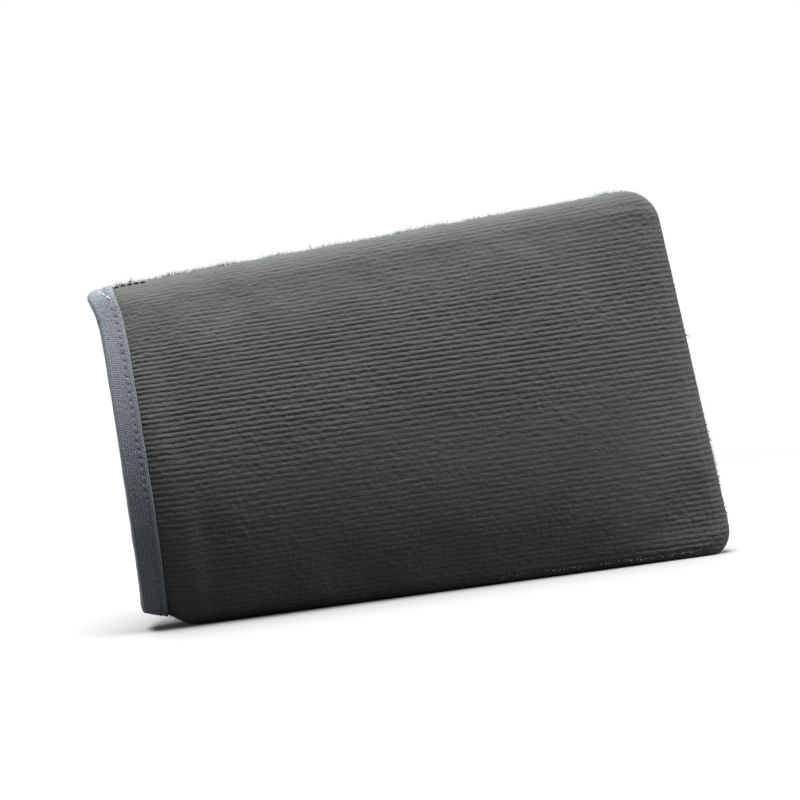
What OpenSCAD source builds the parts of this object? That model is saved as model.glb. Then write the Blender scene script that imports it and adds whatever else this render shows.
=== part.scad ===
// Wash mitt: a padded pouch for one hand, standing on its long side edge.
// +X runs from the mouth to the fingertips, +Z up across the width, and the ribbed face looks to -Y.
// The origin is the centre of the footprint, on the surface that the mitt stands on.

/* [Body] */
// Length along the fingers, from the mouth edge to the tip seam
body_len = 241; // [220:1:260]
// Width at the mouth, across the fingers
mouth_w = 137; // [125:1:150]
// Width at the tip, across the fingers
tip_w = 156; // [145:1:170]
// How far each panel stands out from the seam plane at the mouth
mouth_bulge = 31; // [24:1:36]
// How far each panel stands out from the seam plane near the tip
tip_bulge = 19; // [15:1:24]
// Corner radius at the tip, seen from the face
corner_r = 14; // [14:1:24]
// Radius of the padded roll along the sewn edges
edge_r = 9; // [8.5:0.5:12]
// How far the mouth is sheared, its upper end away from the tip
mouth_skew = 5.6; // [0:0.2:12]
// How far the tip is sheared, its upper end towards the mouth
tip_skew = 19.4; // [0:0.2:24]
// Depth by which the lower edge is pressed flat where the mitt stands
foot_drop = 2.7; // [2:0.1:3]
// How far the binding draws the lower corner of the mouth up
mouth_tuck = 8; // [5.6:0.2:8.6]
// How far the upper corner of the mouth flares outwards
corner_flare = 3; // [0:0.5:6]
// How far the upper corner of the mouth is rounded down
mouth_round = 4; // [0:0.5:6]

/* [Layers] */
// Ribbed rubber facing of the front panel
face_t = 1.8; // [1.2:0.1:2.2]
// Foam pad behind the facing
foam_t = 4.4; // [3:0.1:4.6]
// Microfibre pile cloth of the back panel, pile included
pile_t = 4; // [3:0.1:4.4]
// Thickness of the knitted lining in each panel
lining_t = 0.8; // [0.4:0.1:1]
// Share of its thickness that the laminate keeps under the binding
mouth_squeeze = 0.55; // [0.45:0.05:0.8]

/* [Binding] */
// Width of the folded tape on each side of the mouth edge
tape_w = 8.6; // [7:0.2:13]
// Thickness of the tape
tape_t = 1.1; // [0.8:0.1:1.2]
// Distance of the stitch row from the mouth edge
row_at = 5.8; // [4:0.2:8.5]
// Thickness of the turned-under end of the tape where it laps
lap_t = 0.7; // [0.5:0.1:1.2]

/* [Sewing] */
// Thickness of one turned-in seam margin
margin_t = 1; // [0.8:0.1:1.1]
// How far the seam margins reach inwards from the lining
margin_reach = 6; // [5.5:0.5:8]
// Thread diameter
thread_d = 0.4; // [0.3:0.05:0.4]
// Stitch length of the binding row
bind_pitch = 3.2; // [2.5:0.1:4]
// Stitch length of the closing seam
seam_pitch = 4; // [3:0.1:5]

/* [Hidden] */

FRONT = -1;
BACK = 1;
x_mouth = -body_len / 2;
x_tip = body_len / 2;
x_corner = x_tip - corner_r;
wall_t = face_t + foam_t + lining_t;
wadding_t = wall_t - pile_t - lining_t;
squeeze_len = 14;
tuck_from = 6;
tuck_len = 16;
fade_len = 70;
flare_reach = 9;
flare_len = 25;
shell_step = 15;
sleeve_w = 3;
round_len = 8;
// Middle of the footprint along x, which the shear and the flare move off the body's own middle
centre_x = (tip_skew * (0.5 - (corner_r - foot_drop) / tip_w) - 0.8 * tape_t
            + mouth_skew * (0.5 - (mouth_w - mouth_round) / tip_w)
            - corner_flare * exp(-pow(mouth_round / flare_reach, 2))) / 2;

// ---- Shape of the pouch -------------------------------------------------------------------

function mix(a, b, t) = a + (b - a) * t;
function clamp01(t) = min(1, max(0, t));
function smooth(t) = let (c = clamp01(t)) c * c * (3 - 2 * c);
function reversed(list) = [for (i = [len(list) - 1:-1:0]) list[i]];

// Lower and upper seam line over x, before the lower edge is pressed flat
function low_edge(x) = mouth_tuck * (1 - smooth((x - x_mouth - tuck_from) / tuck_len))
    + 0.5 * mouth_round * pow(max(0, 1 - (x - x_mouth) / round_len), 2);
function high_edge(x) = mix(mouth_w, tip_w, (x - x_mouth) / body_len) + foot_drop
    - mouth_round * pow(max(0, 1 - (x - x_mouth) / round_len), 2);
function half_width(x) = (high_edge(x) - low_edge(x)) / 2;
function mid_height(x) = (high_edge(x) + low_edge(x)) / 2;

// The crown that the hand pushes up, which dies out at the sewn edges and at the tip
function crown(x, v) =
    (mix(mouth_bulge, tip_bulge, (x - x_mouth) / body_len) - edge_r) * (1 - v * v)
    * (1 - pow(clamp01((x - x_tip + fade_len) / fade_len), 2));

// Depth of a layer boundary below the outer surface, squeezed together under the binding
function squeezed(d, x) =
    wall_t / 2 + (d - wall_t / 2) * mix(mouth_squeeze, 1, smooth((x - x_mouth) / squeeze_len));
function skin_at(x) = squeezed(0, x);
function lining_at(x) = squeezed(wall_t, x);

// Distance from the outline, and the height of the padded roll there (0 at the seam, 1 inside)
function edge_gap(x, v, a) =
    let (dz = half_width(x) - abs(v) * a, dx = x_tip - x)
    (dx < corner_r && dz < corner_r)
        ? corner_r - norm([corner_r - dx, corner_r - dz]) : min(dx, dz);
function roll(gap) = gap >= edge_r ? 1 : sqrt(max(0, 1 - pow(1 - max(0, gap) / edge_r, 2)));

// A station is [x, angle]: the angle turns through the tip corners once x has reached them
function station_x(s, d) = s[1] > 0 ? x_corner + (corner_r - d) * sin(s[1]) : s[0];
function station_a(s, d) =
    half_width(station_x(s, d)) - (s[1] > 0 ? corner_r - (corner_r - d) * cos(s[1]) : d);

// Shear of the upper edge, and the flare of the mouth's upper corner
function slide(x, z) =
    mix(mouth_skew, tip_skew, (x - x_mouth) / body_len) * (0.5 - z / tip_w) - centre_x
    - corner_flare * exp(-pow((mouth_w - z) / flare_reach, 2)) * (1 - smooth((x - x_mouth) / flare_len));

// Point of the front panel: depth below the outer surface, station, place across the width from
// -1 to 1, and the distance from the seam plane at the seam itself
function panel(d, s, v, least = 0) =
    let (x0 = station_x(s, 0), x = station_x(s, d), dd = squeezed(d, x),
         z = mid_height(x) + v * station_a(s, dd),
         zf = max(z, foot_drop + dd) - foot_drop,
         rim = s[0] < x_mouth + tape_w ? 0 : least,
         y = rim + crown(x0, v) + (edge_r - dd - rim) * roll(edge_gap(x0, v, station_a(s, 0))))
    [x + slide(x, zf), -y, zf];

// The same under the tape, where the depth is measured after the squeeze
function taped(side, depth, x, v) =
    let (z = mid_height(x) + v * (half_width(x) - depth) - foot_drop,
         y = crown(x, v) + (edge_r - depth) * roll(edge_gap(x, v, half_width(x))))
    [x + slide(x, z), side * y, z];

STATIONS = concat(
    [for (x = [0, tape_w / 2, tape_w, tape_w + 5, tape_w + 11]) [x_mouth + x, 0]],
    [for (k = [1:8]) [mix(x_mouth + tape_w + 11, x_corner, 1 - pow(1 - k / 8, 1.5)), 0]],
    [for (a = [shell_step:shell_step:90]) [x_corner, a]]);
ROLL_V = [for (a = [0:22.5:90]) 1 - edge_r * (1 - cos(a)) / (tip_w / 2)];
INNER_V = [for (k = [3:-1:1]) ROLL_V[4] * k / 4];
HALF_V = concat(ROLL_V, INNER_V);
ACROSS = concat([for (v = HALF_V) -v], [0], reversed(HALF_V));

// ---- Sheets -------------------------------------------------------------------------------

function quad(a, b, c, d) = [[a, b, c], [a, c, d]];

// Closed slab between two grids of points with the same rows and columns
module slab(outer, inner) {
    n = len(outer);
    m = len(outer[0]);
    points = concat([for (row = outer) each row], [for (row = inner) each row]);
    function o(i, j) = i * m + j;
    function p(i, j) = n * m + i * m + j;
    skins = [for (i = [0:n - 2], j = [0:m - 2]) each concat(
        quad(o(i, j), o(i, j + 1), o(i + 1, j + 1), o(i + 1, j)),
        quad(p(i, j), p(i + 1, j), p(i + 1, j + 1), p(i, j + 1)))];
    ends = [for (j = [0:m - 2]) each concat(
        quad(o(0, j), p(0, j), p(0, j + 1), o(0, j + 1)),
        quad(o(n - 1, j), o(n - 1, j + 1), p(n - 1, j + 1), p(n - 1, j)))];
    seams = [for (i = [0:n - 2]) each concat(
        quad(o(i, 0), o(i + 1, 0), p(i + 1, 0), p(i, 0)),
        quad(o(i, m - 1), p(i, m - 1), p(i + 1, m - 1), o(i + 1, m - 1)))];
    polyhedron(points, concat(skins, ends, seams), convexity = 6);
}

// One layer of the front panel between two depths; the back panel mirrors the front
module layer(d_out, d_in, least_out) {
    slab([for (s = STATIONS) [for (v = ACROSS) panel(d_out, s, v, least_out)]],
         [for (s = STATIONS) [for (v = ACROSS) panel(d_in, s, v, margin_t)]]);
}

module ribbed_face() {
    color([0.24, 0.25, 0.25]) layer(0, face_t, 0);
}

module front_foam() {
    color([0.35, 0.35, 0.36]) layer(face_t, face_t + foam_t, margin_t);
}

module front_lining() {
    color([0.55, 0.56, 0.58]) layer(face_t + foam_t, wall_t, margin_t);
}

module microfibre_back() {
    color([0.72, 0.75, 0.75]) mirror([0, 1, 0]) layer(0, pile_t, 0);
}

module back_wadding() {
    color([0.9, 0.9, 0.88]) mirror([0, 1, 0]) layer(pile_t, pile_t + wadding_t, margin_t);
}

module back_lining() {
    color([0.55, 0.56, 0.58]) mirror([0, 1, 0]) layer(pile_t + wadding_t, wall_t, margin_t);
}

// ---- Seam ---------------------------------------------------------------------------------

// Line of the sewn edge at one depth, from the lower end of the tape round the tip to the upper end
function seam_point(d, s, v) = let (p = panel(d, s, v)) [p[0], p[2]];
function seam_line(d) = let (run = [for (i = [2:len(STATIONS) - 1]) STATIONS[i]]) concat(
    [for (s = run) seam_point(d, s, -1)], [for (s = reversed(run)) seam_point(d, s, 1)]);

// Flat band in the seam plane between two depths, from y_low to y_low + t
module seam_band(d_out, d_in, y_low, t) {
    translate([0, y_low + t, 0]) rotate([90, 0, 0]) linear_extrude(t)
        polygon(concat(seam_line(d_out), reversed(seam_line(d_in))));
}

module front_seam_margin() {
    color([0.24, 0.25, 0.25]) seam_band(face_t, wall_t + margin_reach, -margin_t, margin_t);
}

module back_seam_margin() {
    color([0.72, 0.75, 0.75]) seam_band(pile_t, wall_t + margin_reach, 0, margin_t);
}

// Sleeve of overlock thread round the raw edge of both margins
module overlock_thread() {
    raw = wall_t + margin_reach;
    color([0.3, 0.3, 0.32]) union() {
        seam_band(raw - sleeve_w, raw, -margin_t - thread_d, thread_d);
        seam_band(raw - sleeve_w, raw, margin_t, thread_d);
        seam_band(raw, raw + thread_d, -margin_t - thread_d, 2 * (margin_t + thread_d));
    }
}

// ---- Stitches -----------------------------------------------------------------------------

function lengths(path) = [for (i = 0, t = 0; i < len(path); i = i + 1,
    t = t + (i < len(path) ? norm(path[i] - path[i - 1]) : 0)) t];
function place(path, run, s, i = 1) = (s <= run[i] || i == len(path) - 1)
    ? mix(path[i - 1], path[i], clamp01((s - run[i - 1]) / (run[i] - run[i - 1])))
    : place(path, run, s, i + 1);

module bar(a, b) {
    v = b - a;
    translate(a) rotate([0, acos(v[2] / norm(v)), atan2(v[1], v[0])])
        cylinder(h = norm(v), d = thread_d, $fn = 16);
}

// Row of separate straight stitches along a path; the thread dips between them
module stitch_row(path, pitch) {
    run = lengths(path);
    total = run[len(run) - 1];
    count = floor(total / pitch);
    step = total / count;
    for (k = [0:count - 1])
        bar(place(path, run, (k + 0.12) * step), place(path, run, (k + 0.88) * step));
}

function seam_row(y) = [for (p = seam_line(wall_t + 1.8)) [p[0], y, p[1]]];

module seam_needle_thread() {
    color([0.16, 0.17, 0.17]) stitch_row(seam_row(-margin_t - thread_d / 2), seam_pitch);
}

module seam_bobbin_thread() {
    color([0.16, 0.17, 0.17]) stitch_row(seam_row(margin_t + thread_d / 2), seam_pitch);
}

// ---- Binding ------------------------------------------------------------------------------

// Loop round the mouth at one x and depth: up the front panel and down the back panel
function loop_at(x, depth) = concat(
    [for (v = ACROSS) taped(FRONT, depth, x, v)],
    [for (k = [len(ACROSS) - 2:-1:1]) taped(BACK, depth, x, ACROSS[k])]);

// Closed ring through a list of loops; its diagonals run as those of the layers do
module ring(loops) {
    n = len(loops);
    m = len(loops[0]);
    points = [for (l = loops) each l];
    faces = [for (i = [0:n - 1], j = [0:m - 1])
        let (i2 = (i + 1) % n, j2 = (j + 1) % m,
             a = i * m + j, b = i2 * m + j, c = i2 * m + j2, d = i * m + j2)
        each ((loops[i2][0][0] > loops[i][0][0]) == (j < len(ACROSS) - 1))
            ? quad(a, b, c, d) : quad(b, c, d, a)];
    polyhedron(points, faces, convexity = 8);
}

module cuff_binding() {
    legs = [for (x = [tape_w, tape_w / 2, 0]) x_mouth + x];
    nose = x_mouth - tape_t * 0.8;
    color([0.38, 0.41, 0.47]) ring(concat(
        [for (x = legs) loop_at(x, skin_at(x) - tape_t)],
        [loop_at(nose, skin_at(x_mouth) - tape_t * 0.2)],
        [loop_at(nose, lining_at(x_mouth) + tape_t * 0.2)],
        [for (x = reversed(legs)) loop_at(x, lining_at(x) + tape_t)],
        [for (x = legs) loop_at(x, lining_at(x))],
        [for (x = reversed(legs)) loop_at(x, skin_at(x))]));
}

// End of the tape, turned under and lapped over the start at the upper corner
module binding_lap() {
    function level(up) = [for (x = [0, tape_w / 2, tape_w])
        [for (v = reversed(ROLL_V))
            taped(FRONT, skin_at(x_mouth + x) - tape_t - up, x_mouth + x, v)]];
    color([0.42, 0.45, 0.51]) slab(level(lap_t), level(0));
}

function binding_row(depth) = let (loop = loop_at(x_mouth + row_at, depth)) concat(loop, [loop[0]]);

module binding_needle_thread() {
    path = binding_row(skin_at(x_mouth + row_at) - tape_t - thread_d / 2);
    color([0.5, 0.53, 0.6]) difference() {
        stitch_row(path, bind_pitch);
        translate([x_mouth - 20, -20, mouth_w - edge_r - 2]) cube([40, 20, 20]);
    }
}

module binding_bobbin_thread() {
    color([0.5, 0.53, 0.6])
        stitch_row(binding_row(lining_at(x_mouth + row_at) + tape_t + thread_d / 2), bind_pitch);
}

// Short diagonal row of pale thread that tacks the lap down
module lap_tack_thread() {
    count = 3;
    function tack(t) = let (x = x_mouth + mix(1.5, tape_w - 2, t))
        taped(FRONT, skin_at(x) - tape_t - lap_t - thread_d / 2, x, mix(0.982, 0.925, t));
    color([0.8, 0.81, 0.84])
        for (k = [0:count - 1]) bar(tack((k + 0.15) / count), tack((k + 0.8) / count));
}

ribbed_face();
front_foam();
front_lining();
microfibre_back();
back_wadding();
back_lining();
front_seam_margin();
back_seam_margin();
seam_needle_thread();
seam_bobbin_thread();
overlock_thread();
cuff_binding();
binding_lap();
binding_needle_thread();
binding_bobbin_thread();
lap_tack_thread();
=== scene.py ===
"""Looks of the wash mitt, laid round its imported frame.

The mitt stands on its long lower edge: +X from the mouth to the fingertips, +Z up, the ribbed face to
-Y and the pile to +Y. Shapes are worked out in millimetres on one padded pouch, and turned into metres
when a mesh is made.
"""

import math

import bpy
import numpy as np
from mathutils import Matrix, Vector


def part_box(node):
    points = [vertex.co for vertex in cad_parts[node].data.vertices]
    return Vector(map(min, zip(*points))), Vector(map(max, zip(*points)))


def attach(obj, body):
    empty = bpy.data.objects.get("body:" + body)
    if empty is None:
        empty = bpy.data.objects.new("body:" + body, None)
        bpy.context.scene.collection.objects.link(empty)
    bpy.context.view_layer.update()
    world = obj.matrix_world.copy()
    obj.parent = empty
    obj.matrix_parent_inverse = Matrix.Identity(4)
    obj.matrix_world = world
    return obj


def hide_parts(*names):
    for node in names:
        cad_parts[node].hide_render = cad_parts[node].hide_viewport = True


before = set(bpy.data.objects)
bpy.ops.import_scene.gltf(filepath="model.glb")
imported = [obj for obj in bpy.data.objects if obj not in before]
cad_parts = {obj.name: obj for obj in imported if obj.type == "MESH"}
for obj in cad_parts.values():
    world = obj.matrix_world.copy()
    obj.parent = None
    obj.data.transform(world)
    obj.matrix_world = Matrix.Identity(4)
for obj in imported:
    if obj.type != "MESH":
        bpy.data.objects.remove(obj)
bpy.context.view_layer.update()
MM = 0.001
ROOT = "root"
rng = np.random.default_rng(7)

# ---- Driving sizes, in millimetres ---------------------------------------------------------------

BODY_LEN = 241.0
MOUTH_SKEW, TIP_SKEW = 5.6, 19.4  # shear of each end, its upper corner towards -X
FLARE = 3.0  # how far the mouth's upper corner flares out
FLARE_REACH, FLARE_LEN = 9.0, 25.0  # the flare's extent down from the corner and along the mitt
EDGE_R = 9.0  # padded roll along the sewn edges
CORNER_R = 14.0  # tip corners, seen from the face
TIP_W = 156.0
MOUTH_W = 137.0
MOUTH_BULGE = 31.0
TIP_BULGE = 19.0
FOOT_DROP = 2.7  # depth pressed flat where the mitt stands
MOUTH_TUCK = 7.3  # lift of the lower edge at the mouth
TUCK_FROM, TUCK_LEN = 6.0, 16.0  # where that lift starts to fall, and over what length
FADE_LEN = 70.0  # length over which the crown dies out at the tip
MOUTH_ROUND, FOOT_ROUND = 1.6, 1.3  # drop of the mouth's rounded upper corner, rise of its lower one
ROUND_LEN = 8.0
X_MOUTH, X_TIP = -BODY_LEN / 2, BODY_LEN / 2
X_CORNER = X_TIP - CORNER_R
TIP_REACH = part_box("ribbed_face")[1][0] / MM  # the tip's furthest point, in the frame
CENTRE_X = X_TIP + TIP_SKEW * (0.5 - (CORNER_R - FOOT_DROP) / TIP_W) - TIP_REACH

FACE_T, FOAM_T, LINING_T = 1.8, 4.4, 0.8
WALL_T = FACE_T + FOAM_T + LINING_T
SQUEEZE, SQUEEZE_LEN = 0.55, 14.0  # share of the wall left under the tape, and where it's whole again
TAPE_W, TAPE_T = 8.6, 1.1
ROW_AT = 5.8  # the tape's stitch row, from the mouth edge
NOSE = 1.1  # how far the folded tape stands out past the mouth edge
BACK_SETBACK, SETBACK_LEN = 2.4, 40.0  # the back's mouth edge stands behind the face's
THREAD_PITCH, THREAD_R = 3.2, 0.26
FRONT, BACK = -1, 1

WEAVE_COLUMN, WEAVE_BEAD = 1.0, 0.95  # the tape's woven columns and the beads along them
RIB_PITCH, RIB_H = 2.28, 0.32
RIBS_BELOW, RIBS_ABOVE = 40, 56  # ribs counted from the middle one, with some to spare past the seams
RIB_COLUMNS = 8  # mesh columns to one rib
FACE_START, FACE_ROW = 5.0, 0.54  # the face's first mesh row under the tape, and the row spacing
SEAM_BLEND = 1.5  # the ribs die out over this distance from the seam
KNIT_PITCH = 1.5  # length of one knit loop along a rib
BEADS_TO = 62.0  # height up the tip's edge to which pile shows through the seam
RIB_TILT = 0.02  # how far the ribs fall against the middle line, per millimetre


# ---- The padded pouch ----------------------------------------------------------------------------


def smooth(t):
    t = np.clip(t, 0.0, 1.0)
    return t * t * (3 - 2 * t)


def mix(a, b, t):
    return a + (b - a) * t


def rounding(x):
    """From 0 to 1 towards the mouth edge, and a little more on the tape's nose."""
    return np.clip(1 - (x - X_MOUTH) / ROUND_LEN, 0, 1.2) ** 2


def low_edge(x):
    tuck = MOUTH_TUCK * (1 - smooth((x - X_MOUTH - TUCK_FROM) / TUCK_LEN))
    return tuck + FOOT_ROUND * rounding(x)


def high_edge(x):
    return mix(MOUTH_W, TIP_W, (x - X_MOUTH) / BODY_LEN) + FOOT_DROP - MOUTH_ROUND * rounding(x)


def half_width(x):
    return (high_edge(x) - low_edge(x)) / 2


def mid_height(x):
    return (high_edge(x) + low_edge(x)) / 2


def rib_middle(x):
    """Height of the middle rib, which runs straight to the mouth."""
    return (mix(MOUTH_W, TIP_W, (x - X_MOUTH) / BODY_LEN) + FOOT_DROP) / 2


def corner_inset(x):
    """How much the rounded tip corners take off the half width."""
    dx = np.clip(x - X_CORNER, 0, CORNER_R)
    return CORNER_R - np.sqrt(CORNER_R**2 - dx**2)


def crown(x, v):
    u = (x - X_MOUTH) / BODY_LEN
    fade = 1 - np.clip((x - X_TIP + FADE_LEN) / FADE_LEN, 0, 1) ** 2
    return (mix(MOUTH_BULGE, TIP_BULGE, u) - EDGE_R) * (1 - v * v) * fade


def edge_gap(x, z):
    """Distance from the sewn outline, and its direction inwards."""
    off = z - mid_height(x)
    dz, dx = half_width(x) - np.abs(off), X_TIP - x
    cx, cz = np.maximum(CORNER_R - dx, 0), np.maximum(CORNER_R - dz, 0)
    reach = np.hypot(cx, cz) + 1e-9
    in_corner = (dx < CORNER_R) & (dz < CORNER_R)
    gap = np.where(in_corner, CORNER_R - reach, np.minimum(dx, dz))
    by_tip = dx < dz
    ex = np.where(in_corner, -cx / reach, np.where(by_tip, -1.0, 0.0))
    ez = np.where(in_corner, -np.sign(off) * cz / reach, np.where(by_tip, 0.0, -np.sign(off)))
    return np.maximum(gap, 0), ex, ez


def slide(x, z):
    flare = FLARE * np.exp(-(((MOUTH_W - z) / FLARE_REACH) ** 2))
    flare = flare * (1 - smooth((x - X_MOUTH) / FLARE_LEN))
    return mix(MOUTH_SKEW, TIP_SKEW, (x - X_MOUTH) / BODY_LEN) * (0.5 - z / TIP_W) - CENTRE_X - flare


def setback(side, x):
    """How far the back's mouth edge stands behind the face's."""
    return np.where(side == BACK, BACK_SETBACK, 0.0) * (1 - smooth((x - X_MOUTH) / SETBACK_LEN))


def across(x, z):
    """Place across the width, from -1 to 1 between the seams."""
    return (z - mid_height(x)) / (half_width(x) - corner_inset(x) + 1e-6)


def pouch(side, x, z):
    """Points and outward normals of the pouch's outer surface at plan places x, z."""
    gap, ex, ez = edge_gap(x, z)
    turn = np.clip(1 - gap / EDGE_R, 0, 1)
    rise = np.sqrt(1 - turn**2)
    v, h = across(x, z), 0.5
    here = crown(x, v)
    cx = (crown(x, across(x, z)) - crown(x - h, across(x - h, z))) / h
    cz = (crown(x, across(x, z + h)) - crown(x, across(x, z - h))) / (2 * h)
    normal = np.stack([-(cx * rise + turn * ex), side * rise, -(cz * rise + turn * ez)], -1)
    normal /= np.linalg.norm(normal, axis=-1, keepdims=True)
    zf = np.maximum(z, FOOT_DROP) - FOOT_DROP
    back = setback(side, x) * rise
    point = np.stack([x + slide(x, zf) + back, side * (here + EDGE_R * rise), zf], -1)
    return point, normal


def squeezed(depth, x):
    """Depth of a layer boundary, squeezed together under the binding."""
    return WALL_T / 2 + (depth - WALL_T / 2) * mix(SQUEEZE, 1, smooth((x - X_MOUTH) / SQUEEZE_LEN))


# ---- Meshes --------------------------------------------------------------------------------------


def mesh_piece(name, points, faces, material, uv=None):
    """A mesh object from points in millimetres; uv holds one pair per point."""
    mesh = bpy.data.meshes.new(name)
    mesh.from_pydata(np.asarray(points) * MM, [], faces if isinstance(faces, list) else faces.tolist())
    if uv is not None:
        layer = mesh.uv_layers.new(name="cloth_mm")
        loops = np.empty(len(mesh.loops), dtype=np.int32)
        mesh.loops.foreach_get("vertex_index", loops)
        layer.data.foreach_set("uv", np.asarray(uv, dtype=np.float32)[loops].ravel())
    mesh.materials.append(material)
    mesh.polygons.foreach_set("use_smooth", np.full(len(mesh.polygons), True))
    mesh.update()
    obj = bpy.data.objects.new(name, mesh)
    bpy.context.scene.collection.objects.link(obj)
    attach(obj, ROOT)
    return obj


def grid_faces(index, flip=False):
    """Quads over an index grid; corners that share a point drop out."""
    a, b, c, d = index[:-1, :-1], index[1:, :-1], index[1:, 1:], index[:-1, 1:]
    quads = np.stack([a, d, c, b] if flip else [a, b, c, d], -1).reshape(-1, 4)
    whole = (
        (quads[:, 0] != quads[:, 1]) & (quads[:, 1] != quads[:, 2])
        & (quads[:, 2] != quads[:, 3]) & (quads[:, 3] != quads[:, 0])
    )
    faces = quads[whole].tolist()
    for quad in quads[~whole].tolist():
        corner = list(dict.fromkeys(quad))
        if len(corner) == 3:
            faces.append(corner)
    return faces


# ---- Materials -----------------------------------------------------------------------------------


class Nodes:
    """A short hand for building a material's node tree."""

    def __init__(self, name, colour, roughness, **sockets):
        self.material = bpy.data.materials.new(name)
        self.material.use_nodes = True
        self.tree = self.material.node_tree
        self.shader = self.tree.nodes["Principled BSDF"]
        self.shader.inputs["Base Color"].default_value = (*colour, 1)
        self.shader.inputs["Roughness"].default_value = roughness
        for key, value in sockets.items():
            self.shader.inputs[key.replace("_", " ")].default_value = value

    def add(self, kind, inputs=None, **settings):
        node = self.tree.nodes.new(kind)
        for key, value in settings.items():
            setattr(node, key, value)
        for key, value in (inputs or {}).items():
            socket = node.inputs[key]
            if isinstance(value, bpy.types.NodeSocket):
                self.tree.links.new(value, socket)
            else:
                socket.default_value = value
        return node

    def math(self, operation, a, b=0.0, c=0.0):
        return self.add("ShaderNodeMath", {0: a, 1: b, 2: c}, operation=operation).outputs[0]

    def place(self, uv):
        """Cloth coordinates in millimetres, or the object's own place in metres."""
        if uv:
            return self.add("ShaderNodeUVMap", uv_map="cloth_mm").outputs[0]
        return self.add("ShaderNodeTexCoord").outputs["Object"]

    def noise(self, where, scale, detail=2.0, rough=0.5, stretch=None):
        if stretch:
            where = self.add("ShaderNodeMapping", {"Vector": where, "Scale": stretch}).outputs[0]
        inputs = {"Vector": where, "Scale": scale, "Detail": detail, "Roughness": rough}
        return self.add("ShaderNodeTexNoise", inputs).outputs["Fac"]

    def ramp(self, value, stops):
        node = self.add("ShaderNodeValToRGB", {"Fac": value})
        marks = node.color_ramp.elements
        while len(marks) < len(stops):
            marks.new(0.5)
        for mark, (place, colour) in zip(marks, stops):
            mark.position = place
            mark.color = (*colour, 1)
        return node.outputs["Color"]

    def level(self, value, low, high, to_low, to_high):
        inputs = {"Value": value, 1: low, 2: high, 3: to_low, 4: to_high}
        return self.add("ShaderNodeMapRange", inputs).outputs[0]

    def blend(self, factor, a, b, kind="MIX"):
        node = self.add("ShaderNodeMix", data_type="RGBA", blend_type=kind)
        for socket, value in ((node.inputs[0], factor), (node.inputs[6], a), (node.inputs[7], b)):
            if isinstance(value, bpy.types.NodeSocket):
                self.tree.links.new(value, socket)
            else:
                socket.default_value = value if isinstance(value, float) else (*value, 1)
        return node.outputs[2]

    def colour(self, socket):
        self.tree.links.new(socket, self.shader.inputs["Base Color"])

    def roughness(self, socket):
        self.tree.links.new(socket, self.shader.inputs["Roughness"])

    def bump(self, height, distance, strength=1.0):
        node = self.add(
            "ShaderNodeBump", {"Height": height, "Distance": distance * MM, "Strength": strength}
        )
        if self.shader.inputs["Normal"].links:
            self.tree.links.new(self.shader.inputs["Normal"].links[0].from_socket, node.inputs["Normal"])
        self.tree.links.new(node.outputs[0], self.shader.inputs["Normal"])


def rubber_material():
    """Soft grey rubber printed on a ribbed knit, with painted shade darkening the grooves between the ribs.
    """
    n = Nodes("face_rubber", (0.04, 0.042, 0.041), 0.7, Specular_IOR_Level=0.05)
    n.shader.inputs["Sheen Weight"].default_value = 0.04
    n.shader.inputs["Sheen Roughness"].default_value = 0.45
    n.shader.inputs["Sheen Tint"].default_value = (0.85, 0.88, 0.87, 1)
    uv = n.place(True)
    wide = n.noise(uv, 0.03, 3)
    knit = n.noise(uv, 1.1, 3, 0.6, stretch=(0.6, 1, 1))
    fine = n.noise(uv, 4.0, 3, 0.7)
    tone = n.ramp(wide, [(0.3, (0.032, 0.033, 0.0325)), (0.7, (0.04, 0.0425, 0.0415))])
    tone = n.blend(n.level(knit, 0.35, 0.65, 0, 0.5), tone, (0.052, 0.0545, 0.053))
    split = n.add("ShaderNodeSeparateXYZ", {0: uv})
    phase = n.math("FRACT", n.math("DIVIDE", split.outputs[1], RIB_PITCH))
    painted_groove_shade = n.math("ABSOLUTE", n.math("SUBTRACT", n.math("MULTIPLY", phase, 2.0), 1.0))
    # Painted shade: the colour is darkened in the grooves between the ribs, where shade falls.
    tone = n.blend(n.level(painted_groove_shade, 0.5, 1.0, 0, 0.34), tone, (0.014, 0.015, 0.0145))
    specks = n.add("ShaderNodeTexVoronoi", {"Vector": uv, "Scale": 0.045}, voronoi_dimensions="2D")
    lint = n.level(specks.outputs["Distance"], 0.005, 0.012, 1, 0)
    n.colour(n.blend(n.math("MULTIPLY", lint, 0.5), tone, (0.2, 0.21, 0.2)))
    n.roughness(n.level(knit, 0.3, 0.7, 0.65, 0.85))
    n.bump(knit, 0.3, 0.8)
    n.bump(fine, 0.08, 0.6)
    return n.material


def pile_material(name, dark, light):
    n = Nodes(name, light, 0.9, Specular_IOR_Level=0.1)
    n.shader.inputs["Sheen Weight"].default_value = 0.2
    n.shader.inputs["Sheen Roughness"].default_value = 0.5
    where = n.place(False)
    n.colour(n.ramp(n.noise(where, 260, 3), [(0.3, dark), (0.7, light)]))
    n.bump(n.noise(where, 2500, 2), 0.1, 0.5)
    return n.material


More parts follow.
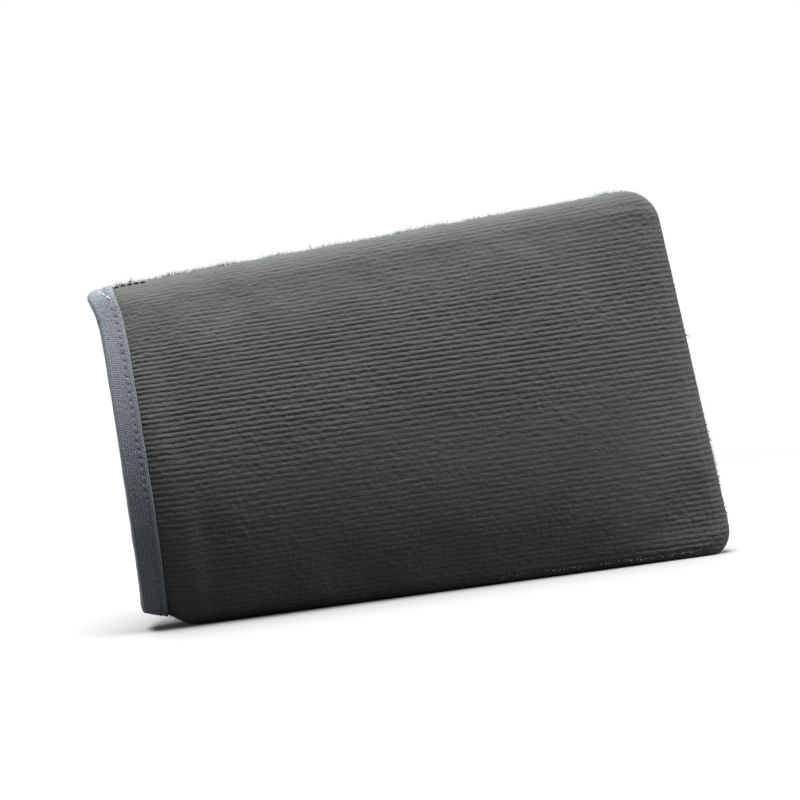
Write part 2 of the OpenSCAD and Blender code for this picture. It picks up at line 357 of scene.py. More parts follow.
def tape_material():
    n = Nodes("tape", (0.088, 0.098, 0.114), 0.75, Specular_IOR_Level=0.15)
    n.shader.inputs["Sheen Weight"].default_value = 0.1
    n.shader.inputs["Sheen Roughness"].default_value = 0.4
    uv = n.place(True)
    cell = n.noise(uv, 1.3, 2, 0.6)
    fine = n.noise(uv, 5.0, 2, 0.6)
    tone = n.ramp(cell, [(0.3, (0.066, 0.074, 0.086)), (0.7, (0.125, 0.138, 0.157))])
    split = n.add("ShaderNodeSeparateXYZ", {0: uv})
    column = n.math("DIVIDE", split.outputs[0], WEAVE_COLUMN)
    offset = n.math("MULTIPLY", n.math("FLOORED_MODULO", n.math("FLOOR", column), 2.0), 0.5)
    bead = n.math("FRACT", n.math("ADD", n.math("DIVIDE", split.outputs[1], WEAVE_BEAD), offset))
    # Painted shade: the gaps between the woven columns and between the beads along them are darkened in the
    # colour.
    gap = None
    for phase, start in ((n.math("FRACT", column), 0.55), (bead, 0.6)):
        off = n.math("ABSOLUTE", n.math("SUBTRACT", n.math("MULTIPLY", phase, 2.0), 1.0))
        shade = n.level(off, start, 1.0, 0, 1)
        gap = shade if gap is None else n.math("MAXIMUM", gap, shade)
    n.colour(n.blend(n.math("MULTIPLY", gap, 0.7), tone, (0.018, 0.02, 0.026)))
    n.bump(fine, 0.06, 0.6)
    return n.material


def cloth_material(name, dark, light, pitch):
    """Knitted cloth: two crossed waves of stitches, in the object's own space."""
    n = Nodes(name, light, 0.9, Specular_IOR_Level=0.2)
    where = n.place(False)
    waves = []
    for direction in ("X", "Z"):
        inputs = {"Vector": where, "Scale": 0.31 / (pitch * MM), "Distortion": 0.4}
        waves.append(
            n.add("ShaderNodeTexWave", inputs, bands_direction=direction).outputs["Fac"]
        )
    knit = n.math("MULTIPLY", waves[0], waves[1])
    n.colour(n.ramp(knit, [(0.1, dark), (0.8, light)]))
    n.bump(knit, 0.25, 0.8)
    n.bump(n.noise(where, 1500, 2), 0.08, 0.5)
    return n.material


def thread_material(name, dark, light):
    """Spun thread: fine plies that run across it."""
    n = Nodes(name, light, 0.7, Specular_IOR_Level=0.3)
    where = n.place(False)
    ply = n.add("ShaderNodeTexWave", {"Vector": where, "Scale": 700.0, "Distortion": 1.0}).outputs["Fac"]
    n.colour(n.ramp(ply, [(0.2, dark), (0.7, light)]))
    n.bump(ply, 0.08, 0.8)
    return n.material


RUBBER = rubber_material()
PILE = pile_material("microfibre", (0.17, 0.19, 0.188), (0.3, 0.325, 0.32))
FRINGE = pile_material("microfibre_fringe", (0.15, 0.161, 0.159), (0.235, 0.25, 0.247))
TAPE = tape_material()
LINING = cloth_material("lining", (0.10, 0.105, 0.115), (0.26, 0.27, 0.29), 1.1)
FOAM = cloth_material("foam", (0.10, 0.10, 0.10), (0.17, 0.17, 0.175), 1.6)
WADDING = cloth_material("wadding", (0.55, 0.55, 0.53), (0.75, 0.75, 0.73), 2.2)
MARGIN = cloth_material("margin_cloth", (0.03, 0.032, 0.032), (0.08, 0.082, 0.082), 1.0)
DARK_THREAD = thread_material("dark_thread", (0.02, 0.021, 0.024), (0.07, 0.075, 0.08))
TAPE_THREAD = thread_material("tape_thread", (0.03, 0.034, 0.042), (0.10, 0.11, 0.13))
# Seam thread coloured near black: the thread's own dark colour together with painted shade of the stitch
# holes it sits in.
SEAM_THREAD_AND_HOLE_SHADE = thread_material("seam_thread_and_hole_shade", (0.004, 0.004, 0.005), (0.014, 0.015, 0.017))
PALE_THREAD = thread_material("pale_thread", (0.19, 0.2, 0.21), (0.37, 0.38, 0.39))


# ---- Inflating the pouch by cloth simulation -----------------------------------------------------

SIM_ROWS, SIM_COLS = 60, 45
SIM_FRAMES = 18
SIM_CAP = 2.6  # longer moves are cut to this
SIM_SHARE = 0.28  # how much of the swelling the firm foam lets through


def sim_grid():
    """Plan places of the coarse grid, whose last rows turn round the tip corners."""
    straight = np.linspace(X_MOUTH, X_CORNER, SIM_ROWS - 7)
    turn = X_CORNER + CORNER_R * np.sin(np.linspace(0, math.pi / 2, 8)[1:])
    xs = np.concatenate([straight, turn])
    angle = np.linspace(-1, 1, SIM_COLS)
    vs = np.sign(angle) * (1 - (1 - np.abs(angle)) ** 1.25)
    x = np.repeat(xs[:, None], SIM_COLS, 1)
    z = mid_height(x) + vs * (half_width(x) - corner_inset(x))
    return xs, vs, x, z


def inflate():
    """Displacement of the two panels, front and back, on the coarse grid, in millimetres."""
    xs, vs, x, z = sim_grid()
    front, _ = pouch(FRONT, x, z)
    back, _ = pouch(BACK, x, z)
    n = SIM_ROWS * SIM_COLS
    index = np.arange(n).reshape(SIM_ROWS, SIM_COLS)
    other = index + n
    other[:, 0], other[:, -1], other[-1] = index[:, 0], index[:, -1], index[-1]
    points = np.concatenate([front.reshape(-1, 3), back.reshape(-1, 3)])
    used = np.unique(np.concatenate([index.ravel(), other.ravel()]))
    renumber = np.full(2 * n, -1)
    renumber[used] = np.arange(len(used))
    faces = grid_faces(renumber[index]) + grid_faces(renumber[other], flip=True)
    mesh = bpy.data.meshes.new("inflate")
    mesh.from_pydata(points[used] * MM, [], faces)
    obj = bpy.data.objects.new("inflate", mesh)
    bpy.context.scene.collection.objects.link(obj)

    held = np.zeros((SIM_ROWS, SIM_COLS))
    held[x < X_MOUTH + TAPE_W + 2] = 1
    held[:, [0, -1]] = 1
    held[-1] = 1
    held[z < FOOT_DROP + 0.5] = 1
    group = obj.vertex_groups.new(name="pin")
    pins = np.concatenate([held.ravel(), held.ravel()])[used]
    group.add([int(i) for i in np.nonzero(pins > 0)[0]], 1.0, "REPLACE")

    cloth = obj.modifiers.new("Cloth", "CLOTH")
    s = cloth.settings
    s.quality = 6
    s.mass = 0.15
    s.tension_stiffness = s.compression_stiffness = 18
    s.shear_stiffness = 8
    s.bending_stiffness = 1.5
    s.tension_damping = s.compression_damping = s.shear_damping = 12
    s.vertex_group_mass = "pin"
    s.use_pressure = True
    s.uniform_pressure_force = 4
    s.shrink_min = -0.02
    s.effector_weights.gravity = 0
    cloth.point_cache.frame_start, cloth.point_cache.frame_end = 1, SIM_FRAMES
    for step in range(1, SIM_FRAMES + 1):
        bpy.context.scene.frame_set(step)
    result = obj.evaluated_get(bpy.context.evaluated_depsgraph_get()).to_mesh()
    moved = np.empty(len(used) * 3)
    result.vertices.foreach_get("co", moved)
    shift = np.zeros((2 * n, 3))
    shift[used] = moved.reshape(-1, 3) / MM - points[used]
    bpy.data.objects.remove(obj)
    bpy.data.meshes.remove(mesh)
    bpy.context.scene.frame_set(1)
    size = np.linalg.norm(shift, axis=1, keepdims=True)
    shift *= SIM_SHARE * np.minimum(1, SIM_CAP / np.maximum(size, 1e-6))
    shift[size[:, 0] > 40] = 0
    return xs, vs, {FRONT: shift[index], BACK: shift[other]}


SIM_X, SIM_V, SIM_SHIFT = inflate()


def spline_weights(t):
    """Cubic B-spline weights of the four grid lines round each place."""
    f = t - np.floor(t)
    return [(1 - f) ** 3 / 6, (3 * f**3 - 6 * f**2 + 4) / 6, (-3 * f**3 + 3 * f**2 + 3 * f + 1) / 6, f**3 / 6]


def swell(side, x, z):
    """The simulated displacement at plan places x, z."""
    row = np.interp(x, SIM_X, np.arange(SIM_ROWS))
    col = np.interp(np.clip(across(x, z), -1, 1), SIM_V, np.arange(SIM_COLS))
    total = 0
    for i, wi in enumerate(spline_weights(row)):
        ri = np.clip(np.floor(row).astype(int) + i - 1, 0, SIM_ROWS - 1)
        for j, wj in enumerate(spline_weights(col)):
            cj = np.clip(np.floor(col).astype(int) + j - 1, 0, SIM_COLS - 1)
            total = total + (wi * wj)[..., None] * SIM_SHIFT[side][ri, cj]
    return total


def panel(side, x, z, depth=0.0):
    """Points and normals of a panel at a depth below its outer surface, swollen by the simulation."""
    point, normal = pouch(side, x, z)
    point = point + swell(side, x, z) * np.minimum(1, edge_gap(x, z)[0] / EDGE_R)[..., None]
    point = point - normal * (squeezed(depth, x) * np.ones_like(x))[..., None]
    return point, normal


# ---- Ribbed face ---------------------------------------------------------------------------------


def tip_rows(start, step):
    """Row places that keep an even spacing over the flat and round the roll at the tip."""
    flat = np.arange(start, X_TIP - EDGE_R, step)
    turn = np.linspace(0, math.pi / 2, int(EDGE_R * math.pi / 2 / step) + 1)[1:]
    return np.concatenate([flat, X_TIP - EDGE_R + EDGE_R * np.sin(turn)])


def rib_grid(xs, columns):
    """Plan heights where each rib coordinate crosses each row, clamped to the outline.

    A rib coordinate counts ribs across the cloth from its middle line."""
    t = np.linspace(-1, 1, 801)
    dense = np.sign(t) * (1 - (1 - np.abs(t)) ** 2)
    heights, low, high = [], [], []
    for x in xs:
        z = mid_height(x) + dense * half_width(x)
        gap = half_width(x) - np.abs(z - mid_height(x))
        y = crown(x, dense) + EDGE_R * np.sqrt(1 - np.clip(1 - gap / EDGE_R, 0, 1) ** 2)
        run = np.concatenate([[0], np.cumsum(np.hypot(np.diff(z), np.diff(y)))])
        straight = z / rib_middle(x) - 1
        close = smooth((straight + 0.25) / 1.0) * mix(0.26, 0.10, (x - X_MOUTH) / BODY_LEN)
        rib = np.concatenate([[0], np.cumsum(np.diff(run) / (RIB_PITCH * (1 - close[1:])))])
        rib += RIB_TILT * (x - X_MOUTH) / RIB_PITCH - np.interp(0, straight, rib)
        heights.append(np.interp(columns, rib, z))
        reach = half_width(x) - corner_inset(x)
        low.append(mid_height(x) - reach)
        high.append(mid_height(x) + reach)
    return np.array(heights), np.array(low)[:, None], np.array(high)[:, None]


def value_noise(x, y, seed):
    """Smooth noise from -1 to 1 on a unit lattice."""
    table = np.random.default_rng(seed).uniform(-1, 1, (257, 257))
    xi, yi = np.floor(x).astype(int), np.floor(y).astype(int)
    fx, fy = smooth(x - xi), smooth(y - yi)
    a, b = table[xi % 257, yi % 257], table[(xi + 1) % 257, yi % 257]
    c, d = table[xi % 257, (yi + 1) % 257], table[(xi + 1) % 257, (yi + 1) % 257]
    return mix(mix(a, b, fx), mix(c, d, fx), fy)


def creases(x, z, gap):
    """Depth of the creases pressed in along the rolled edge, at the foot and round the tip."""
    foot = smooth((x + 10) / 90) * smooth((30 - z) / 12)
    tip = smooth((x - X_TIP + 40) / 25)
    wave = 0.5 * value_noise(x / 18, z / 18, 41)
    depth = 0.34 * foot * np.exp(-(((gap - 5.0 - wave) / 0.55) ** 2))
    depth = depth + 0.28 * foot * np.exp(-(((gap - 8.6 + wave) / 0.7) ** 2))
    return depth + 0.26 * tip * np.exp(-(((gap - 6.3 - wave) / 0.8) ** 2))


def rib_relief(x, z, rib, gap):
    """Height of the ribs, their lumps and the creases over the cloth between the ribs."""
    place, along = across(x, z), (x - X_MOUTH) / BODY_LEN
    wander = 0.06 * value_noise(x / 9, rib / 2.3, 1) + 0.05 * value_noise(x / 2.2, rib, 2)
    count = np.floor(rib + wander)
    round_top = 1 - (2 * (rib + wander - count) - 1) ** 2
    flat = smooth((place - 0.52) / 0.35) * mix(0.9, 0.55, along)
    worn = 0.78 * smooth((0.25 - place) / 0.5) * mix(0.75, 1.0, smooth((x - X_MOUTH - 20) / 60))
    worn = worn * (1 - 0.6 * smooth((x - X_TIP + 45) / 30))
    height = RIB_H * round_top * (1 + 0.25 * value_noise(x / 11, rib, 3)) * (1 - flat) * (1 - worn)
    knot = 0.5 + 0.5 * np.sin(2 * math.pi * (x / KNIT_PITCH + 0.5 * (count % 2)))
    rough = 0.55 + 0.45 * smooth(0.5 + value_noise(x / 26, rib / 8, 6))
    lumps = 0.19 * rough * value_noise(x / 1.05, rib * 1.6, 4) * (1 - 0.5 * np.maximum(flat, worn))
    dents = 0.09 * value_noise(x / 2.4, rib * 2.6, 5) * (1 - 0.5 * worn)
    height = (height + 0.09 * knot * round_top + lumps + dents) * smooth(gap / SEAM_BLEND)
    return height - creases(x, z, gap)


def trimmed(index, beyond_low, beyond_high):
    """The index grid with the columns past the seam folded onto the last one before it."""
    n, m = index.shape
    first = np.minimum(beyond_low.sum(1) - 1, m - 1).clip(0)
    last = (m - beyond_high.sum(1)).clip(0, m - 1)
    column = np.clip(np.arange(m)[None].repeat(n, 0), first[:, None], last[:, None])
    return np.take_along_axis(index, column, 1)


def ribbed_face():
    xs = tip_rows(X_MOUTH + FACE_START, FACE_ROW)
    columns = np.arange(-RIBS_BELOW * RIB_COLUMNS, RIBS_ABOVE * RIB_COLUMNS + 1) / RIB_COLUMNS
    z, low, high = rib_grid(xs, columns)
    x = np.repeat(xs[:, None], len(columns), 1)
    rib = np.repeat(columns[None], len(xs), 0)
    beyond_low, beyond_high = z <= low, z >= high
    z = np.clip(z, low, high)
    point, normal = panel(FRONT, x, z)
    gap, _, _ = edge_gap(x, z)
    height = rib_relief(x, z, rib, gap) - RIB_H / 2 * smooth(gap / SEAM_BLEND)
    point = point + normal * height[..., None]
    point[..., 2] = np.maximum(point[..., 2], 0.05)
    index = trimmed(np.arange(x.size).reshape(x.shape), beyond_low, beyond_high)
    faces = grid_faces(index)
    used, renumbered = np.unique(np.concatenate([np.ravel(f) for f in faces]), return_inverse=True)
    cuts = np.cumsum([len(f) for f in faces])[:-1]
    faces = [part.tolist() for part in np.split(renumbered, cuts)]
    uv = np.stack([x.ravel(), rib.ravel() * RIB_PITCH], -1)[used]
    obj = mesh_piece("ribbed_face_skin", point.reshape(-1, 3)[used], faces, RUBBER, uv)
    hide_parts("ribbed_face")


ribbed_face()


# ---- Layers behind the face and the back ---------------------------------------------------------


def sheet_grid(step):
    """Plan places of an even grid over a panel, whose last rows turn round the tip corners."""
    straight = np.arange(X_MOUTH, X_CORNER, step)
    turn = X_CORNER + CORNER_R * np.sin(np.linspace(0, math.pi / 2, int(20 / step) + 4))
    xs = np.concatenate([straight, turn])
    count = int(165 / step)
    angle = np.linspace(-1, 1, count)
    vs = np.sign(angle) * (1 - (1 - np.abs(angle)) ** 1.25)
    x = np.repeat(xs[:, None], count, 1)
    return x, mid_height(x) + vs * (half_width(x) - corner_inset(x))


def slab(name, side, d_out, d_in, step, material, node):
    """A closed layer of a panel between two depths."""
    x, z = sheet_grid(step)
    outer, _ = panel(side, x, z, d_out)
    inner, _ = panel(side, x, z, d_in)
    n, m = x.shape
    top = np.arange(n * m).reshape(n, m)
    under = top + n * m
    faces = grid_faces(top, flip=side == BACK) + grid_faces(under, flip=side == FRONT)
    for rim_top, rim_under, turned in (
        (top[0], under[0], side == BACK), (top[-1], under[-1], side == FRONT),
        (top[:, 0], under[:, 0], side == FRONT), (top[:, -1], under[:, -1], side == BACK),
    ):
        faces += grid_faces(np.stack([rim_top, rim_under]), flip=turned)
    points = np.concatenate([outer.reshape(-1, 3), inner.reshape(-1, 3)])
    uv = np.concatenate([np.stack([x.ravel(), z.ravel()], -1)] * 2)
    obj = mesh_piece(name, points, faces, material, uv)
    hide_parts(node)
    return obj


# ---- Strands: stitches, tufts and fibres ---------------------------------------------------------


def strands(name, paths, radii, sides, material):
    """One mesh of closed tubes along paths of shape (tubes, rings, 3), with a radius at each ring."""
    count, rings, _ = paths.shape
    along = np.gradient(paths, axis=1)
    along /= np.linalg.norm(along, axis=-1, keepdims=True) + 1e-9
    ref = np.where(np.abs(along[:, :1, 2:3]) < 0.8, [[[0, 0, 1.0]]], [[[1.0, 0, 0]]])
    u = np.cross(along, np.broadcast_to(ref, along.shape))
    u /= np.linalg.norm(u, axis=-1, keepdims=True) + 1e-9
    w = np.cross(along, u)
    angle = np.arange(sides) * 2 * math.pi / sides
    around = np.cos(angle)[:, None] * u[:, :, None] + np.sin(angle)[:, None] * w[:, :, None]
    points = paths[:, :, None] + around * radii[:, :, None, None]
    first = (np.arange(count) * rings * sides)[:, None, None]
    ring, corner = np.arange(rings - 1)[:, None], np.arange(sides)[None]
    a = first + ring * sides + corner
    b = first + ring * sides + (corner + 1) % sides
    walls = np.stack([a, b, b + sides, a + sides], -1).reshape(-1, 4).tolist()
    caps = (first[:, 0] + np.arange(sides)[::-1]).tolist()
    caps += (first[:, 0] + (rings - 1) * sides + np.arange(sides)).tolist()
    return mesh_piece(name, points.reshape(-1, 3), walls + caps, material)


def stitches(name, path, normals, pitch, radius, material, fill=0.8, rise=0.25):
    """A row of separate stitches along a path, each arched over the cloth with its ends sunk in."""
    run = np.concatenate([[0], np.cumsum(np.linalg.norm(np.diff(path, axis=0), axis=1))])
    count = int(run[-1] / pitch)
    t = np.linspace(0, 1, 9)
    start = (np.arange(count) + (1 - fill) / 2)[:, None] * run[-1] / count
    places = start + t[None] * fill * run[-1] / count
    at = np.stack([np.interp(places, run, path[:, k]) for k in range(3)], -1)
    out = np.stack([np.interp(places, run, normals[:, k]) for k in range(3)], -1)
    arch = rise * np.sin(np.pi * t) ** 0.6 - 0.12
    at = at + out * arch[None, :, None]
    thick = radius * (0.55 + 0.45 * np.sin(np.pi * t) ** 0.5)
    return strands(name, at, np.repeat(thick[None], count, 0), 8, material)


def tufts(name, root, lean, length, radius, material, rings=4, sides=3, bend=0.35):
    """Tapered tufts that grow from roots along lean directions, each with its own bend."""
    count = len(root)
    t = np.linspace(0, 1, rings)[None, :, None]
    sway = rng.normal(size=(count, 1, 3)) * bend
    reach = length[:, None, None]
    paths = root[:, None] + reach * (lean[:, None] * t + sway * t**2)
    paths[..., 2] = np.maximum(paths[..., 2], radius[:, None])
    radii = radius[:, None] * (1 - 0.75 * np.linspace(0, 1, rings)[None] ** 1.5)
    return strands(name, paths, radii, sides, material)


# ---- Microfibre back -----------------------------------------------------------------------------


def back_cloth():
    """The woven ground of the pile, which the tufts stand on."""
    x, z = sheet_grid(1.6)
    point, _ = panel(BACK, x, z, 2.0)
    point[..., 2] = np.maximum(point[..., 2], 0.6)
    index = np.arange(x.size).reshape(x.shape)
    obj = mesh_piece("microfibre_ground", point.reshape(-1, 3), grid_faces(index, flip=True), PILE,
                     np.stack([x.ravel(), z.ravel()], -1))
    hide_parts("microfibre_back")


def back_pile():
    """Short soft locks all over the back."""
    spacing = 1.5
    xs = np.arange(X_MOUTH + TAPE_W - 1, X_TIP - 0.4, spacing)
    columns = np.arange(-92, 124, spacing) / RIB_PITCH
    z, low, high = rib_grid(xs, columns)
    x = np.repeat(xs[:, None], len(columns), 1)
    inside = (z > low + 0.2) & (z < high - 0.2)
    x, z = x[inside], z[inside]
    x = np.clip(x + rng.uniform(-0.7, 0.7, x.shape), X_MOUTH + TAPE_W - 1, X_TIP - 0.3)
    z = z + rng.uniform(-0.7, 0.7, z.shape)
    reach = half_width(x) - corner_inset(x) - 0.3
    z = np.clip(z, mid_height(x) - reach, mid_height(x) + reach)
    point, normal = panel(BACK, x, z, 2.1)
    keep = point[:, 2] > 1.0
    point, normal = point[keep], normal[keep]
    lean = normal + rng.normal(size=normal.shape) * 0.38 + np.array([0.10, 0, -0.18])
    lean /= np.linalg.norm(lean, axis=-1, keepdims=True)
    length = rng.uniform(2.2, 3.4, len(point))
    radius = rng.uniform(0.45, 0.75, len(point))
    length *= np.where(point[:, 2] + lean[:, 2] * length < 0.4, 0.4, 1)
    obj = tufts("microfibre_pile", point, lean, length, radius, PILE)


def seam_fringe(name, count, reach, thick):
    """Pile caught in the seam, longest along the upper edge near the mouth."""
    line_x, line_z = seam_line()
    place = rng.integers(0, len(line_x), count)
    x, z = line_x[place], line_z[place]
    top = z > mid_height(x) + 20
    left = smooth((30 - x) / 120)
    inwards = rng.uniform(-0.1, 1.0, count)
    _, ex, ez = edge_gap(x, z)
    point, normal = panel(BACK, x + ex * inwards, z + ez * inwards, 0.3)
    lean = 0.35 * normal - np.stack([ex, 0 * ex, ez], -1) + rng.normal(size=normal.shape) * 0.32
    lean /= np.linalg.norm(lean, axis=-1, keepdims=True)
    patchy = 0.85 + 0.35 * value_noise(x / 11, z / 11, 31)
    length = rng.uniform(0.7, 1.2, count) * reach * patchy * np.where(top, 1.2 + 0.2 * left, 0.95)
    keep = (point[:, 2] > 1.1) & ((x < X_TIP - 1) | (z < BEADS_TO))
    radius = rng.uniform(0.7, 1.3, count) * thick
    obj = tufts(name, point[keep], lean[keep], length[keep], radius[keep], FRINGE, bend=0.45)


def seam_flecks(count=210, beads=110):
    """Ends of pile that show on the face: flecks above the foot, and beads up the tip's edge."""
    x = np.append(rng.uniform(18, 104, count), X_TIP - rng.uniform(0.1, 0.6, beads))
    foot = low_edge(x) + FOOT_DROP
    z = np.append(foot[:count] + rng.normal(2.6, 0.3, count), rng.uniform(15, BEADS_TO, beads))
    point, normal = panel(FRONT, x, z, 0.1)
    lean = normal + rng.normal(size=normal.shape) * 0.5
    grown = np.append(np.ones(count), np.full(beads, 1.5))
    length = rng.uniform(0.3, 0.55, count + beads) * grown
    radius = rng.uniform(0.08, 0.17, count + beads) * grown
    obj = tufts("seam_flecks", point, lean, length, radius, FRINGE)


def corner_stitches():
    """The few seam stitches that show beside the tape at the upper corner."""
    x = np.linspace(X_MOUTH + TAPE_W + 0.5, X_MOUTH + TAPE_W + 12, 40)
    path, normal = panel(FRONT, x, high_edge(x) - 0.7, -0.1)
    obj = stitches("corner_seam_stitches", path, normal, 2.5, 0.38, SEAM_THREAD_AND_HOLE_SHADE, 0.72, 0.3)


def seam_line(start=X_MOUTH + TAPE_W, step=0.4):
    """Plan places along the sewn outline: the foot, round the tip, and back along the top."""
    straight = np.arange(start, X_CORNER, step)
    turn = np.linspace(0, math.pi / 2, int(CORNER_R * 1.57 / step))
    xs = np.concatenate([straight, X_CORNER + CORNER_R * np.sin(turn)])
    reach = half_width(xs) - corner_inset(xs)
    low, high = mid_height(xs) - reach, mid_height(xs) + reach
    tip = np.arange(low[-1] + step, high[-1], step)
    x = np.concatenate([xs, np.full(len(tip), X_TIP), xs[::-1]])
    z = np.concatenate([low, tip, high[::-1]])
    return x, z


# ---- Bound mouth ---------------------------------------------------------------------------------


def taped(side, depth, x, v):
    """Points at a depth below the pouch's surface at the mouth, v across the width."""
    half = half_width(x)
    gap = half * (1 - np.abs(v))
    rise = np.sqrt(1 - np.clip(1 - gap / EDGE_R, 0, 1) ** 2)
    z = mid_height(x) + v * (half - depth) - FOOT_DROP
    y = crown(x, v) + (EDGE_R - depth) * rise
    return np.stack([x + slide(x, z) + setback(side, x) * rise, side * y, z], -1)


def mouth_loop(step):
    """Sides and places across the width, evenly spaced once round the mouth: up the front, down the back."""
    t = np.linspace(-1, 1, 1201)
    v = np.sign(t) * (1 - (1 - np.abs(t)) ** 2)
    x = np.full_like(v, X_MOUTH + TAPE_W / 2)
    path = taped(FRONT, 0.0, x, v)
    run = np.concatenate([[0], np.cumsum(np.linalg.norm(np.diff(path, axis=0), axis=1))])
    count = int(run[-1] / step)
    places = np.interp(np.arange(count) * run[-1] / count, run, v)
    side = np.concatenate([np.full(count, FRONT), np.full(count, BACK)])
    return side, np.concatenate([places, -places]), run[-1] / count


def skin(x):
    return squeezed(0.0, np.maximum(x, X_MOUTH))


def lining(x):
    return squeezed(WALL_T, np.maximum(x, X_MOUTH))


def tape_profile():
    """The folded tape's section: (x, depth, run along the tape's width) from the outer edge, round the
    nose and to the inner edge, then back against the cloth."""
    fine, coarse = 0.2, 0.5
    leg = np.arange(TAPE_W, 0, -fine)
    outer = [(x, skin(X_MOUTH + x) - TAPE_T * math.sqrt(min(1, (TAPE_W - x + 0.05) / 0.5))) for x in leg]
    top, under = skin(X_MOUTH) - TAPE_T, lining(X_MOUTH) + TAPE_T
    turn = np.linspace(-math.pi / 2, math.pi / 2, 22)
    nose = [(-NOSE * math.cos(a), (top + under) / 2 + (under - top) / 2 * math.sin(a)) for a in turn]
    inner = [(x, lining(X_MOUTH + x) + TAPE_T) for x in np.arange(coarse, TAPE_W + 0.1, coarse)]
    back = [(x, lining(X_MOUTH + x)) for x in (TAPE_W, TAPE_W / 2, 0)]
    back += [(x, skin(X_MOUTH + x)) for x in (0, TAPE_W / 2, TAPE_W)]
    shown = np.array(outer + nose + inner)
    run = np.concatenate([[0], np.cumsum(np.hypot(*np.diff(shown, axis=0).T))])
    return shown, run, np.array(back)


def tape_weave(run, along, seed):
    """Height of the tape's woven columns and of the yarns that cross them."""
    column = run / WEAVE_COLUMN
    ridge = 1 - np.abs(2 * (column - np.floor(column)) - 1) ** 2.5
    lift = -np.cos(2 * math.pi * (along / WEAVE_BEAD + 0.5 * (np.floor(column) % 2)))
    return 0.22 * ridge * (0.62 + 0.38 * lift) + 0.06 * value_noise(run / 0.6, along / 0.7, seed)


def cuff_tape():
    shown, run, back = tape_profile()
    side, v, step = mouth_loop(0.22)
    along = np.arange(len(v)) * step
    x = X_MOUTH + np.repeat(shown[:, :1], len(v), 1)
    depth = np.repeat(shown[:, 1:2], len(v), 1)
    height = tape_weave(run[:, None], along[None], 11)
    outer_leg = run[:, None] < TAPE_W
    row = np.abs(run[:, None] - (TAPE_W - ROW_AT))
    whole = along[-1] + step
    holes = 2 * round(whole / (2 * THREAD_PITCH))
    hole = 0.5 + 0.5 * np.cos(2 * math.pi * along / whole * holes)
    pull = np.exp(-((row / 0.6) ** 2)) * (0.16 + 0.2 * hole**3)
    puff = 0.12 * value_noise(run[:, None] / 4, along[None] / 7, 12)
    lift = height + puff - np.where(outer_leg, pull, 0)
    points = taped(side[None], depth, x, np.repeat(v[None], len(shown), 0))
    ahead = np.roll(points, -1, axis=1) - np.roll(points, 1, axis=1)
    down = np.gradient(points, axis=0)
    normal = np.cross(ahead, down)
    normal /= np.linalg.norm(normal, axis=-1, keepdims=True) + 1e-9
    points = points + normal * lift[..., None]
    hidden = taped(side[None], np.repeat(back[:, 1:2], len(v), 1),
                   X_MOUTH + np.repeat(back[:, :1], len(v), 1), np.repeat(v[None], len(back), 0))
    points = np.concatenate([points, hidden])
    points[..., 2] = np.maximum(points[..., 2], 0.3)
    n, m = points.shape[:2]
    index = np.arange(n * m).reshape(n, m)
    index = np.concatenate([index, index[:1]])
    index = np.concatenate([index, index[:, :1]], 1)
    width = np.concatenate([run, np.zeros(len(back))])
    uv = np.stack(np.broadcast_arrays(width[:, None], along[None]), -1).reshape(-1, 2)
    obj = mesh_piece("cuff_tape", points.reshape(-1, 3), grid_faces(index), TAPE, uv)
    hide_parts("cuff_binding")


def on_tape(side, x, v, lift):
    """Points and outward normals on the tape's outer leg, x from the mouth edge."""
    depth = skin(X_MOUTH + x) - TAPE_T
    here = taped(side, depth - lift, X_MOUTH + x, v)
    out = here - taped(side, depth - lift + 0.5, X_MOUTH + x, v)
    return here, out / (np.linalg.norm(out, axis=-1, keepdims=True) + 1e-9)


def binding_threads():
    side, v, _ = mouth_loop(1.0)
    side, v = np.append(side, side[0]), np.append(v, v[0])
    path, out = on_tape(side, np.full_like(v, ROW_AT), v, 0.05)
    obj = stitches("binding_needle_stitches", path, out, THREAD_PITCH, THREAD_R, TAPE_THREAD, 0.84, 0.26)
    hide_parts("binding_needle_thread")
    x = X_MOUTH + np.full_like(v, ROW_AT)
    inner = taped(side, lining(x) + TAPE_T + 0.1, x, v)
    beneath = taped(side, lining(x) + TAPE_T + 0.6, x, v) - inner
    beneath /= np.linalg.norm(beneath, axis=-1, keepdims=True) + 1e-9
    obj = stitches("binding_bobbin_stitches", inner, beneath, THREAD_PITCH, THREAD_R, TAPE_THREAD,
                   0.84, 0.26)
    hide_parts("binding_bobbin_thread")


def lap_edge(v):
    """The diagonal end of the lap, in millimetres from the mouth edge, at v across the width."""
    return mix(TAPE_W - 1.6, 3.6, smooth((v - 0.9) / 0.1))


def tape_lap():
    """The tape's end, turned under and lapped over its start at the upper corner."""
    v = np.linspace(0.85, 1.0, 60)
    share = np.concatenate([np.linspace(0, 1, 30), [1.0]])
    x = -1.5 + share[:, None] * (lap_edge(v)[None] + 1.5)
    vv = np.repeat(v[None], len(share), 0)
    nose = np.clip(-x / 1.5, 0, 1)
    edge = np.clip((1 - share[:, None]) * 9, 0, 1) ** 0.5 * smooth((vv - 0.86) / 0.1)
    puff = 0.75 * edge + 0.25 * np.sin(np.pi * np.clip(share[:, None], 0, 1)) * edge - 0.1
    weave = tape_weave(x, vv * 68, 21) * edge
    drop = 2.3 * (1 - np.sqrt(1 - nose**2))
    here, out = on_tape(FRONT, x, vv, 0.0)
    points = here + out * (puff + weave * 0.8 - drop)[..., None]
    n, m = x.shape
    index = np.arange(n * m).reshape(n, m)
    uv = np.stack([x.ravel(), (vv * 68).ravel()], -1)
    obj = mesh_piece("cuff_tape_lap", points.reshape(-1, 3), grid_faces(index), TAPE, uv)
    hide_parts("binding_lap")
    v = np.linspace(0.985, 0.905, 30)
    path, out = on_tape(FRONT, lap_edge(v) - 0.4, v, 0.55)
    obj = stitches("lap_tack_stitches", path, out, 3.0, 0.26, PALE_THREAD, 0.7, 0.3)
    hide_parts("lap_tack_thread")


# ---- Putting the pieces together -----------------------------------------------------------------

